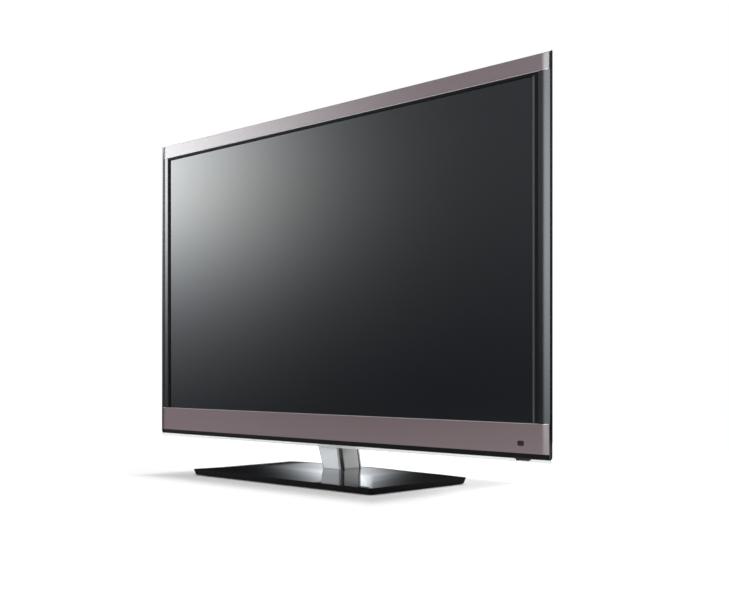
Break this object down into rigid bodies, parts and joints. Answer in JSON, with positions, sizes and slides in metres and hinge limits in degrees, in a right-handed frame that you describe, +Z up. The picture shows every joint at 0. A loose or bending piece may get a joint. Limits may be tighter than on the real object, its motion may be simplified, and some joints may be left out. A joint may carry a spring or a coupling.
{
  "type": "led television",
  "caption": "Flat edge-lit television with rose-grey bars above and below a dark screen, on a bright leaning neck that swivels on a glossy black base.",
  "frame": {"origin": "on the floor, under the middle of the stand's base", "axes": "+X to the viewer's right across the screen, +Y towards the back of the set, +Z up"},
  "size_m": [1.12, 0.294, 0.7579],
  "materials": {
    "gloss_black": "mirror-smooth black moulding",
    "rose_metal": "satin rose-grey metallic, finely brushed along its length",
    "silver_trim": "satin light grey",
    "clear_acrylic": "clear, polished",
    "smoked_lens": "smoked and polished",
    "dark_glass": "dark panel glass with a smooth low-reflection film",
    "white_film": "satin white film",
    "light_guide_acrylic": "clear, polished",
    "guide_plastic": "fine grain",
    "steel_sheet": "galvanised sheet",
    "board_green": "solder mask",
    "lamp_strip": "white-coated strip with lamps",
    "cover_black": "fine moulded grain",
    "socket_black": "smooth",
    "socket_metal": "nickel plated",
    "screw_steel": "zinc plated",
    "key_black": "semi-gloss",
    "neck_chrome": "bright plated",
    "neck_grey": "satin grey metallic",
    "neck_black": "smooth black",
    "bearing_plastic": "low-friction moulding",
    "foot_rubber": "matt"
  },
  "bodies": {
    "base": {"base_cover": "gloss_black", "base_plate": "steel_sheet", "rubber_feet": "foot_rubber", "base_screws": "screw_steel", "bearing_ring": "bearing_plastic", "swivel_retainer": "steel_sheet"},
    "set": {"front_frame": "gloss_black", "turntable_cover": "gloss_black", "upper_bar": "rose_metal", "lower_bar": "rose_metal", "left_trim": "silver_trim", "right_trim": "silver_trim", "clear_strip": "clear_acrylic", "receiver_lens": "smoked_lens", "indicator_window": "smoked_lens", "picture_cell": "dark_glass", "optical_sheets": "white_film", "reflector_sheet": "white_film", "light_guide": "light_guide_acrylic", "panel_guide": "guide_plastic", "rear_chassis": "steel_sheet", "stand_bracket": "steel_sheet", "swivel_plate": "steel_sheet", "neck_post": "steel_sheet", "main_board": "board_green", "power_board": "board_green", "timing_board": "board_green", "sensor_board": "board_green", "key_board": "board_green", "lower_led_bar": "lamp_strip", "upper_led_bar": "lamp_strip", "back_cover": "cover_black", "upper_vent": "cover_black", "lower_vent": "cover_black", "key_plate": "cover_black", "left_speaker": "cover_black", "right_speaker": "cover_black", "lower_socket_plate": "socket_black", "side_socket_plate": "socket_black", "lan_socket": "socket_black", "av_jacks": "socket_black", "power_inlet": "socket_black", "hdmi_sockets": "socket_metal", "usb_sockets": "socket_metal", "aerial_socket": "socket_metal", "cover_screws": "screw_steel", "stand_screws": "screw_steel", "vesa_standoffs": "screw_steel", "neck_front_face": "neck_chrome", "neck_rear_shell": "neck_grey", "neck_spacer": "neck_black", "neck_rear_edge": "neck_black"},
    "channel_rocker": {"channel_rocker": "key_black"},
    "input_key": {"input_key": "key_black"},
    "menu_key": {"menu_key": "key_black"},
    "power_key": {"power_key": "key_black"},
    "select_key": {"select_key": "key_black"},
    "volume_rocker": {"volume_rocker": "key_black"}
  },
  "joints": [
    {"name": "base_swivel", "type": "hinge", "parent": "base", "child": "set", "pos_m": [0, 0.0465, 0.0105], "axis": [0, 0, 1], "range_deg": [-20, 20]},
    {"name": "power_key_press", "type": "slide", "parent": "set", "child": "power_key", "axis": [0, -1, 0], "range_m": [0, 0.0008], "stiffness_N_per_m": 1500, "springref_m": -0.0004},
    {"name": "input_key_press", "type": "slide", "parent": "set", "child": "input_key", "axis": [0, -1, 0], "range_m": [0, 0.0008], "stiffness_N_per_m": 1500, "springref_m": -0.0004},
    {"name": "menu_key_press", "type": "slide", "parent": "set", "child": "menu_key", "axis": [0, -1, 0], "range_m": [0, 0.0008], "stiffness_N_per_m": 1500, "springref_m": -0.0004},
    {"name": "select_key_press", "type": "slide", "parent": "set", "child": "select_key", "axis": [0, -1, 0], "range_m": [0, 0.0008], "stiffness_N_per_m": 1500, "springref_m": -0.0004},
    {"name": "channel_rocker_tip", "type": "hinge", "parent": "set", "child": "channel_rocker", "pos_m": [0.503, 0.0054, 0.411], "axis": [1, 0, 0], "range_deg": [-4, 4], "stiffness_Nm_per_rad": 0.15},
    {"name": "volume_rocker_tip", "type": "hinge", "parent": "set", "child": "volume_rocker", "pos_m": [0.503, 0.0054, 0.448], "axis": [1, 0, 0], "range_deg": [-4, 4], "stiffness_Nm_per_rad": 0.15}
  ]
}
